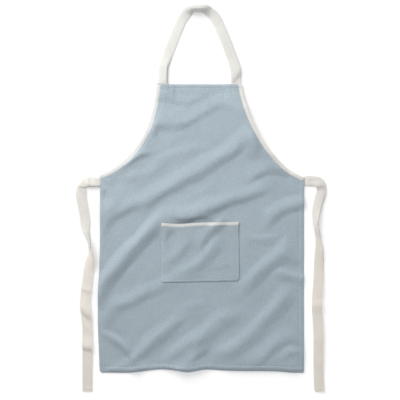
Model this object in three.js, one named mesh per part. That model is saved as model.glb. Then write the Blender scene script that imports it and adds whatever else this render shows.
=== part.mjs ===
// Bib apron of woven cloth, laid face up: panel, patch pocket, bound edges, neck strap and two ties.
// Millimetres, +Z up, +Y from the hem to the neck strap, +X to the right of the laid apron.
import * as THREE from "three";

// Cloth, tape and the room between sewn pieces
const CLOTH = 1.2;
const HEM_CLOTH = 2.4;
const BINDING = 1.0;
const TAPE = 1.6;
const TAPE_WIDTH = 32;
const GAP = 0.6;

// Panel
const HALF_WIDTH = 322;
const WAIST = 607;
const BIB_TOP = 905;
const BIB_HALF = 131;
const BIB_LEAN = -10;
const SIDE_HEM = 15;
const BOTTOM_HEM = 24;
const TOP_HEM = 26;
const SIDE_BULGE = 11;
const BULGE_AT = 180;
const BULGE_REACH = 150;
const HEM_DIP = 8;
const ARMHOLE_UPPER = new THREE.Vector2(141.6, 785);
const ARMHOLE_LOWER = new THREE.Vector2(192, 661);

// Pocket and bindings
const POCKET_LEFT = -132;
const POCKET_RIGHT = 113;
const POCKET_BOTTOM = 280;
const POCKET_TOP = 469;
const POCKET_GAPE = 9;
const ARMHOLE_REACH = 9;
const MOUTH_REACH = 13;
const CALM_EDGE = 16;
const CALM_FADE = 44;

// Cells of the panel's grid, from edge to edge and from hem to bib
const COLUMN_CELLS = { left: 9, pocket: 12, right: 10 };
const ROW_CELLS = { below: 12, pocket: 9, above: 6, bib: 17 };

// Folds of the panel: each crest runs from (x, y) to (toX, toY), bowed or swayed sideways; it
// falls away slowly over wide, on the left of that way, and quickly over steep, on its right
const FOLDS = [
  { x: -133, y: 873, toX: 10, toY: 876, bow: -24, sway: 0, height: 2.5, wide: 30, steep: 16 },
  { x: -175, y: 765, toX: 140, toY: 858, bow: 0, sway: -15, height: 4.5, wide: 32, steep: 20 },
  { x: -205, y: 518, toX: 185, toY: 765, bow: -4, sway: 0, height: 8, wide: 42, steep: 27 },
  { x: -345, y: 462, toX: -200, toY: 543, bow: 0, sway: 0, height: 5, wide: 34, steep: 22 },
  { x: 148, y: 682, toX: 215, toY: 734, bow: 0, sway: 0, height: 4, wide: 24, steep: 18 },
  { x: 148, y: 606, toX: 290, toY: 624, bow: 24, sway: 0, height: 4.5, wide: 26, steep: 20 },
  { x: -375, y: 188, toX: -116, toY: 494, bow: 0, sway: 0, height: 10.5, wide: 46, steep: 30 },
  { x: -150, y: 478, toX: 222, toY: 583, bow: -4, sway: -8, height: 8.5, wide: 40, steep: 24 },
  { x: 190, y: 458, toX: 340, toY: 535, bow: 9, sway: 0, height: 5, wide: 30, steep: 20 },
  { x: 100, y: 237, toX: 246, toY: 375, bow: 0, sway: 0, height: 7, wide: 38, steep: 26 },
  { x: 222, y: 372, toX: 345, toY: 333, bow: 6, sway: 0, height: 5.5, wide: 30, steep: 20 },
  { x: 236, y: 312, toX: 345, toY: 282, bow: 0, sway: 0, height: 4, wide: 26, steep: 18 },
  { x: -310, y: 193, toX: -95, toY: 282, bow: 0, sway: 0, height: 5.5, wide: 34, steep: 22 },
  { x: -330, y: 126, toX: -225, toY: 46, bow: 0, sway: 0, height: 4.5, wide: 28, steep: 18 },
  { x: -310, y: -16, toX: -55, toY: 177, bow: 0, sway: 0, height: 8, wide: 40, steep: 27 },
  { x: -90, y: -15, toX: 135, toY: 208, bow: 12, sway: 0, height: 7, wide: 38, steep: 30 },
  { x: 30, y: 33, toX: 345, toY: 298, bow: -10, sway: -6, height: 9, wide: 42, steep: 28 },
  { x: 130, y: 8, toX: 345, toY: 106, bow: 26, sway: 0, height: 6, wide: 34, steep: 22 },
  { x: 255, y: 60, toX: 345, toY: 67, bow: 0, sway: 0, height: 3.5, wide: 20, steep: 16 },
];

// Folds of the pocket's own cloth
const POCKET_FOLDS = [
  { x: -10, y: 403, toX: 75, toY: 466, bow: 0, sway: 0, height: 4, wide: 26, steep: 18 },
  { x: -8, y: 332, toX: 62, toY: 410, bow: 0, sway: 0, height: 5, wide: 32, steep: 20 },
  { x: -120, y: 334, toX: -60, toY: 392, bow: 0, sway: 0, height: 3, wide: 26, steep: 18 },
];

// Tape ends sewn below the panel, which lies higher over them
const PADS = [
  { x: -122, y: 890, halfX: 36, halfY: 40 },
  { x: 107, y: 890, halfX: 36, halfY: 40 },
  { x: -314, y: 597, halfX: 44, halfY: 40 },
  { x: 314, y: 599, halfX: 44, halfY: 40 },
];
const PAD_FADE = 36;

// Neck strap: middle of the tape, lift of its lower edge and roll, from the left end to the right
const NECK_STRAP = [
  { x: -122, y: 878, lift: 0, roll: 0 },
  { x: -122, y: 908, lift: 0, roll: 0 },
  { x: -121, y: 940, lift: 0.5, roll: 0 },
  { x: -115, y: 971, lift: 3, roll: 0 },
  { x: -99, y: 1022, lift: 0, roll: 2 },
  { x: -83, y: 1067, lift: 0, roll: 14 },
  { x: -67, y: 1105, lift: 0, roll: 36 },
  { x: -48, y: 1131, lift: 0, roll: 58 },
  { x: -28, y: 1140, lift: 0, roll: 68 },
  { x: -9, y: 1141, lift: 0, roll: 70 },
  { x: 10, y: 1140, lift: 0, roll: 68 },
  { x: 29, y: 1131, lift: 0, roll: 58 },
  { x: 45, y: 1104, lift: 0, roll: 36 },
  { x: 59, y: 1067, lift: 0, roll: 14 },
  { x: 78, y: 1022, lift: 0, roll: 2 },
  { x: 95, y: 984, lift: 2, roll: 0 },
  { x: 105, y: 949, lift: 6, roll: 0 },
  { x: 107, y: 921, lift: 1, roll: 0 },
  { x: 107, y: 905, lift: 0, roll: 0 },
  { x: 107, y: 878, lift: 0, roll: 0 },
];

// Ties from the free end up to the turn at the waist
const LEFT_TIE = [
  { x: -369, y: -71, lift: 1, roll: 180 },
  { x: -369, y: -21, lift: 0, roll: 180 },
  { x: -368, y: 30, lift: 1, roll: 180 },
  { x: -368, y: 66, lift: 6, roll: 180 },
  { x: -369, y: 106, lift: 2, roll: 180 },
  { x: -371, y: 151, lift: 0, roll: 180 },
  { x: -375, y: 193, lift: 6, roll: 180 },
  { x: -373, y: 231, lift: 2, roll: 180 },
  { x: -366, y: 288, lift: 0, roll: 176 },
  { x: -360, y: 323, lift: 0, roll: 162 },
  { x: -356, y: 361, lift: 0, roll: 136 },
  { x: -355, y: 384, lift: 0, roll: 112 },
  { x: -358, y: 410, lift: 0, roll: 64 },
  { x: -366, y: 442, lift: 0, roll: 34 },
  { x: -372, y: 469, lift: 0, roll: 10 },
  { x: -377, y: 501, lift: 0, roll: 0 },
];
const RIGHT_TIE = [
  { x: 370, y: -71, lift: 0.5, roll: -180 },
  { x: 367, y: -21, lift: 0, roll: -180 },
  { x: 366, y: 37, lift: 0, roll: -180 },
  { x: 366, y: 100, lift: 1, roll: -180 },
  { x: 364, y: 151, lift: 0, roll: -180 },
  { x: 360, y: 196, lift: 5, roll: -180 },
  { x: 363, y: 234, lift: 2, roll: -180 },
  { x: 366, y: 272, lift: 0, roll: -180 },
  { x: 368, y: 329, lift: 0, roll: -176 },
  { x: 368, y: 373, lift: 0, roll: -160 },
  { x: 366, y: 412, lift: 0, roll: -136 },
  { x: 361, y: 450, lift: 0, roll: -116 },
  { x: 356, y: 474, lift: 0, roll: -64 },
  { x: 359, y: 507, lift: 0, roll: -40 },
  { x: 368, y: 536, lift: 0, roll: -12 },
];

// The turn of each tie: where its middle meets the fold, the end sewn below the panel, and how far
// from the fold the upper layer starts and stops sinking to the floor
const LEFT_TURN = { x: -390, y: 595, endX: -298, endY: 595, sinkFrom: 20, sinkTo: 33 };
const RIGHT_TURN = { x: 380, y: 596, endX: 298, endY: 597, sinkFrom: 16, sinkTo: 27 };
const TURN_RADIUS = 3;
const TURN_ROWS = [-24, 0, 4.5, 9, 13.5, 34];

const CLOTH_LOOK = { color: "#a3b1ba", roughness: 0.95, metalness: 0 };
const TAPE_LOOK = { color: "#e6e3db", roughness: 0.9, metalness: 0 };

// Goes from 0 to 1 without a corner as its value passes from 0 to 1
function ease(value) {
  return THREE.MathUtils.smoothstep(value, 0, 1);
}

// Splits each stretch between two breaks into its number of cells
function stations(breaks, cells) {
  const places = [breaks[0]];
  cells.forEach((count, k) => {
    for (let n = 1; n <= count; n++) {
      places.push(THREE.MathUtils.lerp(breaks[k], breaks[k + 1], n / count));
    }
  });
  return places;
}

// A closed thin wall over a grid of cells: place gives each corner, side 0 below and side 1 above
function wall(columns, rows, place) {
  const grid = new THREE.PlaneGeometry(1, 1, columns, rows);
  const above = Array.from(grid.index.array);
  const corners = [];
  for (const side of [1, 0]) {
    for (let j = rows; j >= 0; j--) {
      for (let i = 0; i <= columns; i++) {
        corners.push(place(i, j, side));
      }
    }
  }
  const count = (columns + 1) * (rows + 1);
  const corner = (i, j) => i + (rows - j) * (columns + 1);
  const faces = [...above, ...above.map((index) => index + count).reverse()];
  const rim = [];
  for (let i = 0; i < columns; i++) rim.push(corner(i, 0));
  for (let j = 0; j < rows; j++) rim.push(corner(columns, j));
  for (let i = columns; i > 0; i--) rim.push(corner(i, rows));
  for (let j = rows; j > 0; j--) rim.push(corner(0, j));
  rim.forEach((from, k) => {
    const to = rim[(k + 1) % rim.length];
    faces.push(from + count, to + count, to);
    faces.push(from + count, to, from);
  });
  const geometry = new THREE.BufferGeometry().setFromPoints(corners);
  geometry.setIndex(faces);
  geometry.computeVertexNormals();
  return geometry;
}

// Height that the folds of a table give the cloth at a place
function foldHeight(folds, x, y) {
  let height = 0;
  for (const fold of folds) {
    const run = new THREE.Vector2(fold.toX - fold.x, fold.toY - fold.y);
    const length = run.length();
    run.normalize();
    const along = (x - fold.x) * run.x + (y - fold.y) * run.y;
    const part = THREE.MathUtils.clamp(along / length, 0, 1);
    const off = (y - fold.y) * run.x - (x - fold.x) * run.y;
    const bend = fold.bow * 4 * part * (1 - part) + fold.sway * Math.sin(2 * Math.PI * part);
    const reach = off > bend ? fold.wide : fold.steep;
    const away = Math.min(1, Math.abs(off - bend) / reach);
    const taper = Math.min(70, 0.45 * length);
    const ends = ease(along / taper) * ease((length - along) / taper);
    height += fold.height * ends * Math.cos((away * Math.PI) / 2) ** 2;
  }
  return height;
}

const armhole = new THREE.CubicBezierCurve(
  new THREE.Vector2(HALF_WIDTH, WAIST),
  ARMHOLE_LOWER,
  ARMHOLE_UPPER,
  new THREE.Vector2(BIB_HALF, BIB_TOP),
);

// Edges of the panel at each row, hem to bib
const skirtRows = stations(
  [0, BOTTOM_HEM, POCKET_BOTTOM, POCKET_TOP, WAIST],
  [1, ROW_CELLS.below, ROW_CELLS.pocket, ROW_CELLS.above],
).map((y) => {
  const bulge = SIDE_BULGE * Math.exp(-(((y - BULGE_AT) / BULGE_REACH) ** 2));
  return { y, left: -HALF_WIDTH - bulge, right: HALF_WIDTH };
});
const WAIST_ROW = skirtRows.length - 1;
const bibRows = stations([0, 1], [ROW_CELLS.bib])
  .slice(1)
  .map((t) => {
    const edge = armhole.getPoint(t);
    const lean = BIB_LEAN * ease((edge.y - WAIST) / (BIB_TOP - WAIST));
    return { y: edge.y, left: lean - edge.x, right: lean + edge.x };
  });
const panelRows = [...skirtRows, ...bibRows];
const inner = 2 * (HALF_WIDTH - SIDE_HEM);
const panelColumns = stations(
  [0, (POCKET_LEFT + inner / 2) / inner, (POCKET_RIGHT + inner / 2) / inner, 1],
  [COLUMN_CELLS.left, COLUMN_CELLS.pocket, COLUMN_CELLS.right],
);
const COLUMNS = panelColumns.length + 1;
const ROWS = panelRows.length - 1;

// How far the sewn tape ends and the binding hold the panel up
function raise(x, y, row) {
  let height = 0;
  for (const pad of PADS) {
    const overX = ease(1 - (Math.abs(x - pad.x) - pad.halfX) / PAD_FADE);
    const overY = ease(1 - (Math.abs(y - pad.y) - pad.halfY) / PAD_FADE);
    height = Math.max(height, (TAPE + GAP) * overX * overY);
  }
  if (row.y >= WAIST - 40) {
    const fromEdge = Math.min(x - row.left, row.right - x);
    const fade = ease((row.y - WAIST + 40) / 40);
    height += (BINDING + GAP) * fade * ease(1 - (fromEdge - 30) / 40);
  }
  return height;
}

// Place of the panel's grid point: x and y with its lower and upper height
function panelPoint(i, j) {
  const row = panelRows[j];
  let x = row.left;
  if (i === COLUMNS) x = row.right;
  if (i > 0 && i < COLUMNS) {
    const span = row.right - row.left - 2 * SIDE_HEM;
    x = row.left + SIDE_HEM + span * panelColumns[i - 1];
  }
  const dip = HEM_DIP * (x / HALF_WIDTH) ** 2 * Math.max(0, 1 - row.y / POCKET_BOTTOM);
  const y = row.y - dip;
  const skirt = j <= WAIST_ROW;
  const sideHem = j < WAIST_ROW && (i <= 1 || i >= COLUMNS - 1);
  const hem = sideHem || j <= 1 || row.y > BIB_TOP - TOP_HEM;
  const fromSide = Math.min(x - row.left, row.right - x) - SIDE_HEM;
  const fromHem = skirt ? Math.min(fromSide, row.y - BOTTOM_HEM) : BIB_TOP - TOP_HEM - row.y;
  const below = skirt ? ease((WAIST - row.y) / 60) : 1;
  const held = hem ? 0 : (HEM_CLOTH - CLOTH) * below * ease(1 - fromHem / 40);
  const calm = skirt ? 1 : ease((Math.min(x - row.left, row.right - x) - CALM_EDGE) / CALM_FADE);
  const low = foldHeight(FOLDS, x, y) * calm + raise(x, y, row) + held;
  return { x, y, low, high: low + (hem ? HEM_CLOTH : CLOTH) };
}

const panelGrid = panelRows.map((row, j) =>
  Array.from({ length: COLUMNS + 1 }, (unused, i) => panelPoint(i, j)),
);

// Heights of the panel's faces at any place on it
function panelAt(x, y) {
  for (let j = 0; j < ROWS; j++) {
    for (let i = 0; i < COLUMNS; i++) {
      const a = panelGrid[j + 1][i];
      const b = panelGrid[j][i];
      const c = panelGrid[j][i + 1];
      const d = panelGrid[j + 1][i + 1];
      for (const [p, q, r] of [[a, b, d], [b, c, d]]) {
        const area = (q.x - p.x) * (r.y - p.y) - (r.x - p.x) * (q.y - p.y);
        const toQ = ((x - p.x) * (r.y - p.y) - (r.x - p.x) * (y - p.y)) / area;
        const toR = ((q.x - p.x) * (y - p.y) - (x - p.x) * (q.y - p.y)) / area;
        if (toQ >= -1e-6 && toR >= -1e-6 && toQ + toR <= 1 + 1e-6) {
          const mix = (key) => p[key] + toQ * (q[key] - p[key]) + toR * (r[key] - p[key]);
          return { x, y, low: mix("low"), high: mix("high") };
        }
      }
    }
  }
  throw new Error("no panel at " + x + ", " + y);
}

function bodyPanel() {
  return wall(COLUMNS, ROWS, (i, j, side) => {
    const point = panelGrid[j][i];
    return new THREE.Vector3(point.x, point.y, side ? point.high : point.low);
  });
}

// Binding folded round a cloth edge: each station has the edge point and the point at its reach
function binding(edges) {
  return wall(edges.length - 1, 5, (k, v, side) => {
    const { edge, reach } = edges[k];
    const off = GAP + side * BINDING;
    const outX = edge.x - reach.x;
    const outY = edge.y - reach.y;
    const grow = off / Math.hypot(outX, outY);
    const beyond = { x: edge.x + outX * grow, y: edge.y + outY * grow };
    const section = [
      new THREE.Vector3(reach.x, reach.y, reach.low - off),
      new THREE.Vector3(edge.x, edge.y, edge.low - off),
      new THREE.Vector3(beyond.x, beyond.y, edge.low),
      new THREE.Vector3(beyond.x, beyond.y, edge.high),
      new THREE.Vector3(edge.x, edge.y, edge.high + off),
      new THREE.Vector3(reach.x, reach.y, reach.high + off),
    ];
    return section[v];
  });
}

// Armhole binding, from the waist corner up on the right and from the bib down on the left
function armholeBinding(hand) {
  const edges = stations([0, 1], [ROW_CELLS.bib]).map((t, k) => {
    const edge = panelGrid[WAIST_ROW + k][hand > 0 ? COLUMNS : 0];
    const run = armhole.getTangent(t);
    const x = edge.x + hand * run.y * -ARMHOLE_REACH;
    const y = edge.y + run.x * ARMHOLE_REACH;
    return { edge, reach: panelAt(x, y) };
  });
  return binding(hand > 0 ? edges : edges.reverse());
}

// Pocket on the panel's grid, its mouth standing open
const FIRST_COLUMN = 1 + COLUMN_CELLS.left;
const FIRST_ROW = 1 + ROW_CELLS.below;
function pocketPoint(i, j) {
  const under = panelGrid[FIRST_ROW + j][FIRST_COLUMN + i];
  const across = Math.sin((Math.PI * i) / COLUMN_CELLS.pocket);
  const up = j / ROW_CELLS.pocket;
  const mouth = (BINDING + GAP) * ease((j - ROW_CELLS.pocket + 3) / 2);
  const folds = foldHeight(POCKET_FOLDS, under.x, under.y) * ease(4 * across);
  const calm = ease(3 * up) * ease(2.5 * (1 - up) - 0.2);
  const low = under.high + GAP + mouth + POCKET_GAPE * across * up + folds * calm;
  return { x: under.x, y: under.y, low, high: low + CLOTH };
}

function pocket() {
  return wall(COLUMN_CELLS.pocket, ROW_CELLS.pocket, (i, j, side) => {
    const point = pocketPoint(i, j);
    return new THREE.Vector3(point.x, point.y, side ? point.high : point.low);
  });
}

function pocketBinding() {
  const edges = stations([0, 1], [COLUMN_CELLS.pocket]).map((unused, i) => {
    const edge = pocketPoint(i, ROW_CELLS.pocket);
    const below = pocketPoint(i, ROW_CELLS.pocket - 1);
    const part = MOUTH_REACH / Math.hypot(edge.x - below.x, edge.y - below.y);
    const mix = (key) => THREE.MathUtils.lerp(edge[key], below[key], part);
    return { edge, reach: { x: mix("x"), y: mix("y"), low: mix("low"), high: mix("high") } };
  });
  return binding(edges.reverse());
}

// Folds the tape over at a turn, so that what lies past the fold comes back above the rest
function turnOver(point, turn) {
  const past = (point.x - turn.x) * turn.out.x + (point.y - turn.y) * turn.out.y;
  if (past <= 0) return point;
  const angle = Math.min(past / TURN_RADIUS, Math.PI);
  const back = Math.max(0, past - Math.PI * TURN_RADIUS);
  const radius = TURN_RADIUS + TAPE / 2 - point.z;
  const sink = ease((back - turn.sinkFrom) / (turn.sinkTo - turn.sinkFrom));
  const shift = radius * Math.sin(angle) - back - past;
  return new THREE.Vector3(
    point.x + turn.out.x * shift,
    point.y + turn.out.y * shift,
    TAPE / 2 + TURN_RADIUS - radius * Math.cos(angle) - 2 * TURN_RADIUS * sink,
  );
}

// Flat tape along a table of its middle, with an optional turn near its end
function tape(rows, cellsEach, across, turn) {
  const middle = new THREE.CatmullRomCurve3(
    rows.map((row) => new THREE.Vector3(row.x, row.y, 0)),
    false,
    "catmullrom",
  );
  const stance = new THREE.CatmullRomCurve3(
    rows.map((row) => new THREE.Vector3(row.lift, row.roll, row.slant ?? 0)),
    false,
    "catmullrom",
  );
  const cells = cellsEach * (rows.length - 1);
  return wall(cells, across, (k, v, side) => {
    const centre = middle.getPoint(k / cells);
    const run = middle.getTangent(k / cells);
    const { x: lift, y: turned, z: slant } = stance.getPoint(k / cells);
    const roll = THREE.MathUtils.degToRad(turned);
    const width = TAPE_WIDTH * (v / across - 0.5);
    const depth = TAPE * (side - 0.5);
    const sideways = width * Math.cos(roll) - depth * Math.sin(roll);
    const half = (TAPE_WIDTH * Math.abs(Math.sin(roll)) + TAPE * Math.abs(Math.cos(roll))) / 2;
    const point = new THREE.Vector3(
      centre.x - run.y * sideways + run.x * slant * width,
      centre.y + run.x * sideways + run.y * slant * width,
      Math.max(0, lift) + half + width * Math.sin(roll) + depth * Math.cos(roll),
    );
    return turn ? turnOver(point, turn) : point;
  });
}

// Tie whose upper end is folded over towards the panel
function tie(rows, turn) {
  const last = rows[rows.length - 1];
  const up = new THREE.Vector2(turn.x - last.x, turn.y - last.y).normalize();
  const home = new THREE.Vector2(turn.endX - turn.x, turn.endY - turn.y);
  const length = home.length() + Math.PI * TURN_RADIUS;
  home.normalize();
  const out = up.clone().sub(home).normalize();
  const slant = (up.y * out.x - up.x * out.y) / up.dot(out);
  const straight = [...TURN_ROWS, length - TAPE_WIDTH, length].map((along) => ({
    x: turn.x + up.x * along,
    y: turn.y + up.y * along,
    lift: 0,
    roll: 0,
    slant: along < length - TAPE_WIDTH ? slant : 0,
  }));
  return tape([...rows, ...straight], 2, 2, { ...turn, out });
}

const apron = new THREE.Group();
function add(name, geometry, look) {
  const mesh = new THREE.Mesh(geometry, new THREE.MeshStandardMaterial(look));
  mesh.name = name;
  apron.add(mesh);
}

add("body_panel", bodyPanel(), CLOTH_LOOK);
add("binding_left", armholeBinding(-1), TAPE_LOOK);
add("binding_right", armholeBinding(1), TAPE_LOOK);
add("pocket", pocket(), CLOTH_LOOK);
add("pocket_binding", pocketBinding(), TAPE_LOOK);
add("neck_strap", tape(NECK_STRAP, 2, 2), TAPE_LOOK);
add("tie_left", tie(LEFT_TIE, LEFT_TURN), TAPE_LOOK);
add("tie_right", tie(RIGHT_TIE, RIGHT_TURN), TAPE_LOOK);

// Origin at the middle of the bottom of the whole apron
const box = new THREE.Box3().setFromObject(apron);
const middle = box.getCenter(new THREE.Vector3());
for (const mesh of apron.children) {
  mesh.geometry.translate(-middle.x, -middle.y, -box.min.z);
}

export default apron;
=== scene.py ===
import math

import bpy
import numpy as np
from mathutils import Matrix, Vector, noise


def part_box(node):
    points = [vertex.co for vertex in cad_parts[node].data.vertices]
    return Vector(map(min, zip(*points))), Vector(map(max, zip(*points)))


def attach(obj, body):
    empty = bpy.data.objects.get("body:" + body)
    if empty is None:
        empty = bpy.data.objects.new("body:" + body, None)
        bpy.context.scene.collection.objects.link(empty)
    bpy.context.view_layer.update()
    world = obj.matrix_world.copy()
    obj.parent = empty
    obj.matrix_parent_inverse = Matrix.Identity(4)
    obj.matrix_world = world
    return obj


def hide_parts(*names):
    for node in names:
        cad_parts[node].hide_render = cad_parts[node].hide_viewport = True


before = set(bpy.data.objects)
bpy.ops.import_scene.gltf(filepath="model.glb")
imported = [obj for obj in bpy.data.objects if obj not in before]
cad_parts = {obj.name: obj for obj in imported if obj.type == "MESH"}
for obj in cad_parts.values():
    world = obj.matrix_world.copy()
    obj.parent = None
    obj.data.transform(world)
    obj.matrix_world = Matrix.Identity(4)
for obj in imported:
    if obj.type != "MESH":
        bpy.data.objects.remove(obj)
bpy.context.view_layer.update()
print("frame loaded:", ", ".join(sorted(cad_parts)))

# Lengths below are millimetres on the laid apron: x from its middle line, y up from its hem.
mm = 0.001


# Shader sockets with arithmetic
class Wire:
    def __init__(self, tree, socket=None):
        self.tree = tree
        self.socket = socket

    def node(self, kind, settings=None, sockets=None, out=0):
        made = self.tree.nodes.new(kind)
        for key, value in (settings or {}).items():
            setattr(made, key, value)
        for key, value in (sockets or {}).items():
            if isinstance(value, Wire):
                self.tree.links.new(value.socket, made.inputs[key])
            else:
                made.inputs[key].default_value = value
        return Wire(self.tree, made.outputs[out] if made.outputs else None)

    def math(self, operation, first, second=0.0, third=0.0):
        return self.node("ShaderNodeMath", {"operation": operation}, {0: first, 1: second, 2: third})

    def __add__(self, other):
        return self.math("ADD", self, other)

    def __radd__(self, other):
        return self.math("ADD", other, self)

    def __sub__(self, other):
        return self.math("SUBTRACT", self, other)

    def __rsub__(self, other):
        return self.math("SUBTRACT", other, self)

    def __mul__(self, other):
        return self.math("MULTIPLY", self, other)

    def __rmul__(self, other):
        return self.math("MULTIPLY", other, self)

    def __truediv__(self, other):
        return self.math("DIVIDE", self, other)

    def __abs__(self):
        return self.math("ABSOLUTE", self)

    def fract(self):
        return self.math("FRACT", self)

    def floor(self):
        return self.math("FLOOR", self)

    def sine(self):
        return self.math("SINE", self)

    def parts(self, vector):  # its x and y
        return tuple(self.node("ShaderNodeSeparateXYZ", {}, {0: vector}, out=k) for k in range(2))

    def join(self, x, y):
        return self.node("ShaderNodeCombineXYZ", {}, {0: x, 1: y})

    def noise(self, vector, scale, detail):
        sockets = {"Vector": vector, "Scale": scale, "Detail": detail}
        return self.node("ShaderNodeTexNoise", {"noise_dimensions": "2D"}, sockets)

    def band(self, low, high):  # 0 below low, 1 above high, smooth between
        settings = {"interpolation_type": "SMOOTHSTEP"}
        sockets = {"Value": self, "From Min": low, "From Max": high}
        return self.node("ShaderNodeMapRange", settings, sockets)

    def mix(self, first, second):  # colours by this factor
        sockets = {"Factor": self, 6: first, 7: second}
        return self.node("ShaderNodeMix", {"data_type": "RGBA"}, sockets, out=2)


def newMaterial(name):
    material = bpy.data.materials.new(name)
    material.use_nodes = True
    tree = material.node_tree
    tree.nodes.clear()
    return material, Wire(tree)


def clothFinish(wire, material, colour, roughness, bumpHeight, depth, sheen):
    bump = wire.node("ShaderNodeBump", {}, {"Strength": 1.0, "Distance": depth, "Height": bumpHeight})
    sockets = {"Base Color": colour, "Roughness": roughness, "Normal": bump, "Specular IOR Level": 0.25,
               "Sheen Weight": sheen, "Sheen Roughness": 0.6}
    shader = wire.node("ShaderNodeBsdfPrincipled", {}, sockets)
    wire.node("ShaderNodeOutputMaterial", {}, {"Surface": shader})
    return material


weave = dict(
    figure=7.0, yarn=0.875, slubLength=26, depth=0.0007, roughness=0.86, slubRough=0.1, sheen=0.12,
    slub=220.0, patch=14.0, ribShow=0.10, slubShow=0.3, warpShow=0.45, weftShow=0.35, patchShow=0.12,
    blue=(0.247, 0.350, 0.436, 1), white=(0.63, 0.695, 0.735, 1), faded=(0.315, 0.40, 0.463, 1),
)


def apronCloth():
    material, wire = newMaterial("apron_cloth")
    uv = wire.node("ShaderNodeUVMap", {"uv_map": "weave"})
    x, y = wire.parts(uv)
    figure = weave["figure"] * mm
    yarn = weave["yarn"] * mm
    slub = wire.noise(uv, weave["slub"], 2.0)
    patch = wire.noise(uv, weave["patch"], 3.0)
    run = weave["slubLength"] * mm
    warp = wire.noise(wire.join(x / yarn, y / run), 1.0, 1.0)  # yarns thick and thin along their run
    weft = wire.noise(wire.join(x / run, y / yarn), 1.0, 1.0)
    stepX = ((x / yarn).floor() + 0.5) * (yarn / figure)  # the figure moves a whole yarn at a time
    stepY = ((y / yarn).floor() + 0.5) * (yarn / figure)
    rhomb = abs(stepX.fract() - 0.5) + abs(stepY.fract() - 0.5)
    figured = abs((rhomb * 2).fract() - 0.5) * 2  # 0 on the rhomb lines, 1 between them
    rib = (x * (2 * math.pi / yarn)).sine() * (y * (2 * math.pi / yarn)).sine()
    show = figured.band(0.25, 0.75) + rib * weave["ribShow"] + (slub - 0.5) * weave["slubShow"]
    show = show + (warp - 0.5) * weave["warpShow"] + (weft - 0.5) * weave["weftShow"]
    colour = show.mix(weave["white"], weave["blue"])
    colour = (patch.band(0.3, 0.7) * weave["patchShow"]).mix(colour, weave["faded"])
    height = (1 - figured) * 0.5 + rib * 0.25 + slub * 0.25 + warp * 0.2 + weft * 0.2
    roughness = weave["roughness"] + slub * weave["slubRough"]
    return clothFinish(wire, material, colour, roughness, height, weave["depth"], weave["sheen"])


twill = dict(
    rib=1.3, column=5.3, depth=0.0005, roughness=0.8, slubRough=0.12, sheen=0.1,
    slub=260.0, patch=18.0, ribShow=0.28, slubShow=0.5, patchShow=0.14,
    # each tape colour with its copy in painted shade, which the rib grooves take
    white=(0.785, 0.803, 0.797, 1), whiteShade=(0.65, 0.66, 0.645, 1),
    # cream is lighter than the white: on the tapes it is painted light as well as cream tone
    cream=(0.965, 0.91, 0.83, 1), creamShade=(0.79, 0.74, 0.66, 1),
)


def creamTape():
    material, wire = newMaterial("cream_tape")
    uv = wire.node("ShaderNodeUVMap", {"uv_map": "weave"})
    creamAndPaintedLight = wire.node("ShaderNodeAttribute", {"attribute_name": "creamAndPaintedLight"}, out=2)
    x, y = wire.parts(uv)
    slub = wire.noise(uv, twill["slub"], 2.0)
    patch = wire.noise(uv, twill["patch"], 3.0)
    zigzag = abs((x / (2 * twill["column"] * mm)).fract() - 0.5) * (2 * twill["column"] * mm)
    rib = ((y + zigzag) * (2 * math.pi / (twill["rib"] * mm))).sine()
    # painted shade: the twill's rib grooves take the shaded copies of the colours, and slubs and patches
    # mix in random tone the same way
    show = (0.5 - rib * 0.5) * twill["ribShow"] + (slub - 0.5) * twill["slubShow"]
    show = show + patch.band(0.35, 0.75) * twill["patchShow"]
    # the cream tint, whose extra lightness on the tapes is painted light
    light = creamAndPaintedLight.mix(twill["white"], twill["cream"])
    shade = creamAndPaintedLight.mix(twill["whiteShade"], twill["creamShade"])
    colour = show.mix(light, shade)
    height = rib * 0.35 + slub * 0.5
    roughness = twill["roughness"] + slub * twill["slubRough"]
    return clothFinish(wire, material, colour, roughness, height, twill["depth"], twill["sheen"])


clothLook = apronCloth()
tapeLook = creamTape()
print("materials made")


# Sheets: a grid is laid out, its points are moved to the cloth's place, and it gets its thickness
def layGrid(name, columns, rows):
    bpy.ops.object.select_all(action="DESELECT")
    bpy.ops.mesh.primitive_grid_add(x_subdivisions=columns, y_subdivisions=rows, size=2)
    piece = bpy.context.object
    piece.name = name
    piece.data.name = name
    flat = np.empty(3 * len(piece.data.vertices))
    piece.data.vertices.foreach_get("co", flat)
    flat = flat.reshape(-1, 3)
    column = np.rint((flat[:, 0] + 1) / 2 * columns).astype(int)
    row = np.rint((flat[:, 1] + 1) / 2 * rows).astype(int)
    return piece, column, row


panelLow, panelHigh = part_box("body_panel")


def toFrame(points):  # millimetres on the apron to metres in the frame
    home = np.array((panelHigh.x - mm * panel["halfWidth"], panelLow.y + mm * panel["hemDip"], 0))
    return points * mm + home


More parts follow.
